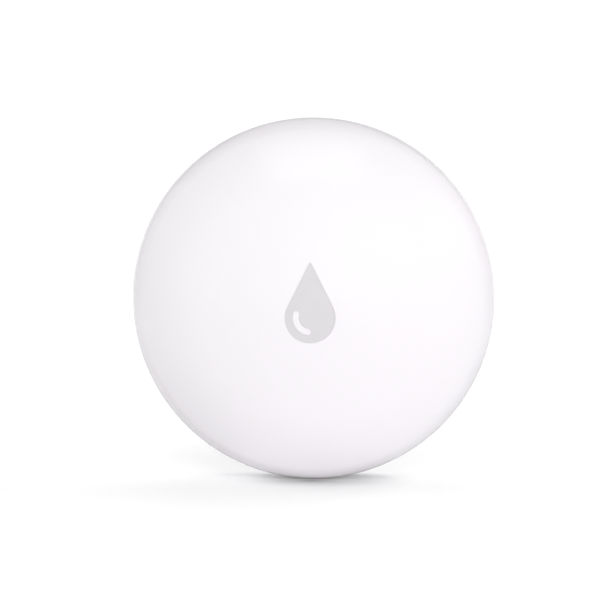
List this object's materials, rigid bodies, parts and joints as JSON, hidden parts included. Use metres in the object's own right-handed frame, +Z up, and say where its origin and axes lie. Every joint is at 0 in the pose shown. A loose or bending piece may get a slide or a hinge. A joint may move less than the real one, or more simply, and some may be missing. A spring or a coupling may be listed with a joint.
{
  "type": "water leak sensor",
  "caption": "Round domed wireless leak sensor with a pressable face, sensing screws on its underside and a coin-slot battery cover, stored standing on its rim.",
  "frame": {"origin": "lowest line of the rim, halfway through the sensor's thickness, with the sensor standing on its rim as pictured", "axes": "+Z up, across the disc; +Y out of the flat underside, so the domed face looks along -Y; +X to the right of someone who faces the dome"},
  "size_m": [0.05, 0.015, 0.05],
  "materials": {
    "shell_white": "polished injection-moulded white",
    "mark_grey": "satin light grey inlay",
    "base_white": "fine satin moulded white",
    "seal_grey": "soft silicone",
    "cell_steel": "nickel-plated steel, fine spin marks",
    "cell_fill": "pressed powder",
    "cell_seal": "moulded grommet",
    "board_green": "glass-fibre laminate with solder mask",
    "screw_steel": "zinc-plated",
    "contact_steel": "nickel-plated spring strip",
    "probe_steel": "polished stainless steel",
    "bush_brass": "turned",
    "switch_black": "moulded resin",
    "switch_steel": "stamped cover",
    "plunger_black": "moulded resin",
    "led_lens": "milky lens",
    "shield_tin": "tin-plated sheet",
    "chip_black": "moulded epoxy",
    "crystal_can": "gold-tinted metal lid",
    "antenna_strip": "stamped strip",
    "capacitor_tan": "fired ceramic",
    "resistor_dark": "fired ceramic"
  },
  "bodies": {
    "casing": {"shell_gasket": "seal_grey", "base_shell": "base_white", "circuit_board": "board_green", "board_screws": "screw_steel", "positive_clip": "contact_steel", "negative_spring": "contact_steel", "probe_right": "probe_steel", "probe_left": "probe_steel", "probe_inserts": "bush_brass", "probe_seals": "seal_grey", "probe_contacts": "contact_steel", "switch_body": "switch_black", "switch_cover": "switch_steel", "status_led": "led_lens", "shield_can": "shield_tin", "radio_chip": "chip_black", "crystal": "crystal_can", "memory_chip": "chip_black", "regulator": "chip_black", "antenna": "antenna_strip", "capacitors": "capacitor_tan", "resistors": "resistor_dark"},
    "face": {"top_shell": "shell_white", "drop_mark": "mark_grey"},
    "plunger": {"switch_plunger": "plunger_black"},
    "cover_seal": {"cover_ring": "seal_grey"},
    "cover": {"battery_cover": "base_white"},
    "cell": {"cell_can": "cell_steel", "cell_gasket": "cell_seal", "cell_cap": "cell_steel", "cell_core": "cell_fill"}
  },
  "joints": [
    {"name": "face_press", "type": "slide", "parent": "casing", "child": "face", "axis": [0, 1, 0], "range_m": [0, 0.0003], "stiffness_N_per_m": 8000},
    {"name": "plunger_press", "type": "slide", "parent": "casing", "child": "plunger", "axis": [0, 1, 0], "range_m": [0, 0.0003]},
    {"name": "cover_pull", "type": "slide", "parent": "casing", "child": "cover_seal", "axis": [0, 1, 0], "range_m": [0, 0.0132]},
    {"name": "cover_turn", "type": "hinge", "parent": "cover_seal", "child": "cover", "pos_m": [0, 0.007, 0.025], "axis": [0, 1, 0], "range_deg": [0, 330]},
    {"name": "cell_out", "type": "slide", "parent": "casing", "child": "cell", "axis": [0, 1, 0], "range_m": [0, 0.0066]}
  ],
  "couplings": [
    {"joint": "plunger_press", "follows": "face_press", "ratio": 1},
    {"joint": "cover_turn", "follows": "cover_pull", "rad_per_m": 436.33},
    {"joint": "cell_out", "follows": "cover_pull", "ratio": 0.5}
  ]
}
